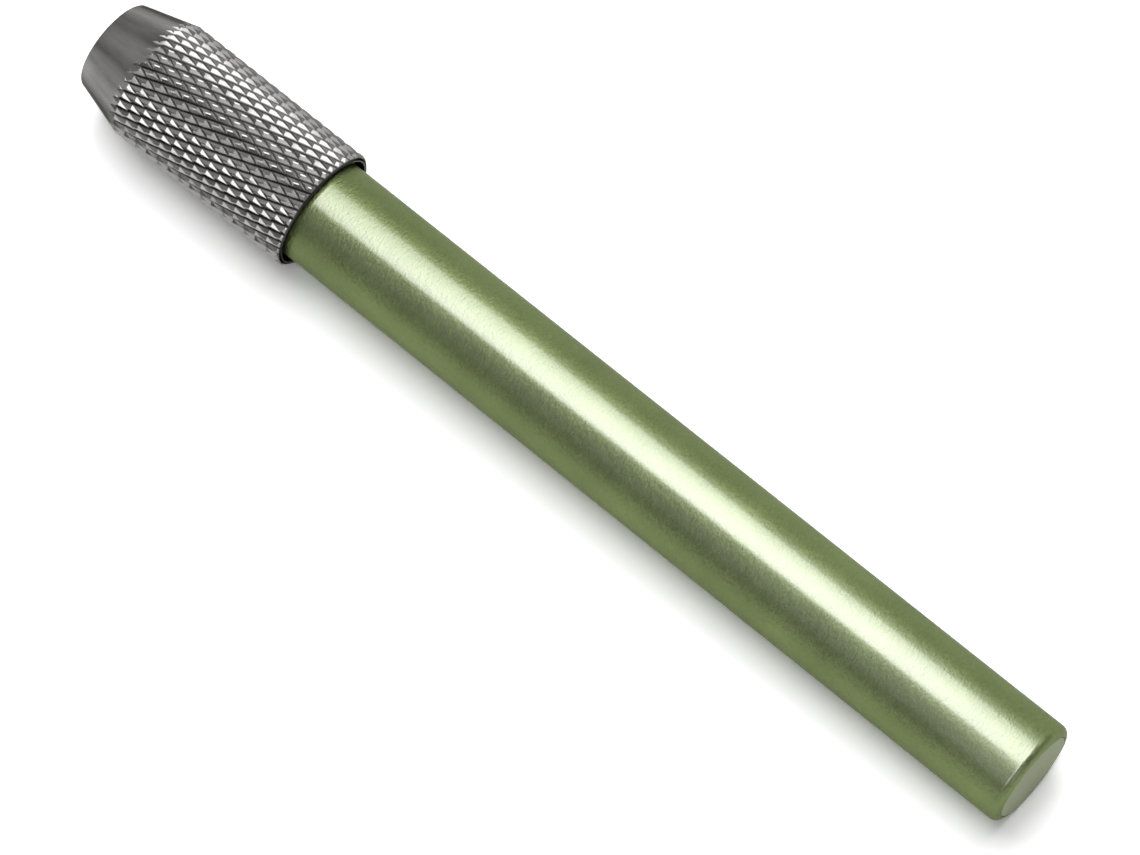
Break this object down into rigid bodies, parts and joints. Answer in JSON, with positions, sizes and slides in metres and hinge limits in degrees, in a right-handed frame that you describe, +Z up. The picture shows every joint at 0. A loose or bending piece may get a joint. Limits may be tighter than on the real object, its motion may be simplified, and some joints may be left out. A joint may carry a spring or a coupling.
{
  "type": "pencil extender",
  "caption": "Slim tube barrel with a knurled screw chuck at the front that grips a pencil stub to lengthen it; the chuck nut turns, its split collet slides and the jaws open.",
  "frame": {"origin": "under the middle of the object's length, on the plane that the chuck nut rests on", "axes": "+X along the barrel towards its closed rear end, nose at -X; +Z up, the barrel's axis 6 mm above the origin"},
  "size_m": [0.105, 0.012, 0.012],
  "materials": {
    "barrel": "satin olive anodised",
    "plug": "satin olive anodised, greyer end face",
    "bush": "turned",
    "collet": "turned spring bronze",
    "nut": "nickel plated, smooth nose and diamond knurl"
  },
  "bodies": {
    "barrel": {"barrel_tube": "barrel", "end_plug": "plug", "threaded_bush": "bush"},
    "collet": {"collet_ring": "collet"},
    "jaw_1": {"collet_jaw_1": "collet"},
    "jaw_2": {"collet_jaw_2": "collet"},
    "jaw_3": {"collet_jaw_3": "collet"},
    "jaw_4": {"collet_jaw_4": "collet"},
    "nut": {"chuck_nut": "nut"}
  },
  "joints": [
    {"name": "collet_slide", "type": "slide", "parent": "barrel", "child": "collet", "axis": [-1, 0, 0], "range_m": [0, 0.00225]},
    {"name": "nut_turn", "type": "hinge", "parent": "collet", "child": "nut", "pos_m": [-0.0405, 0, 0.006], "axis": [-1, 0, 0], "range_deg": [0, 1080]},
    {"name": "jaw_1_flex", "type": "hinge", "parent": "collet", "child": "jaw_1", "pos_m": [-0.04673, 0, 0.00205], "axis": [0, 1, 0], "range_deg": [0, 2.7]},
    {"name": "jaw_2_flex", "type": "hinge", "parent": "collet", "child": "jaw_2", "pos_m": [-0.04673, 0.00395, 0.006], "axis": [0, 0, 1], "range_deg": [0, 2.7]},
    {"name": "jaw_3_flex", "type": "hinge", "parent": "collet", "child": "jaw_3", "pos_m": [-0.04673, 0, 0.00995], "axis": [0, -1, 0], "range_deg": [0, 2.7]},
    {"name": "jaw_4_flex", "type": "hinge", "parent": "collet", "child": "jaw_4", "pos_m": [-0.04673, -0.00395, 0.006], "axis": [0, 0, -1], "range_deg": [0, 2.7]}
  ],
  "couplings": [
    {"joint": "nut_turn", "follows": "collet_slide", "rad_per_m": 8377.6},
    {"joint": "jaw_1_flex", "follows": "collet_slide", "rad_per_m": 20.944},
    {"joint": "jaw_2_flex", "follows": "collet_slide", "rad_per_m": 20.944},
    {"joint": "jaw_3_flex", "follows": "collet_slide", "rad_per_m": 20.944},
    {"joint": "jaw_4_flex", "follows": "collet_slide", "rad_per_m": 20.944}
  ]
}
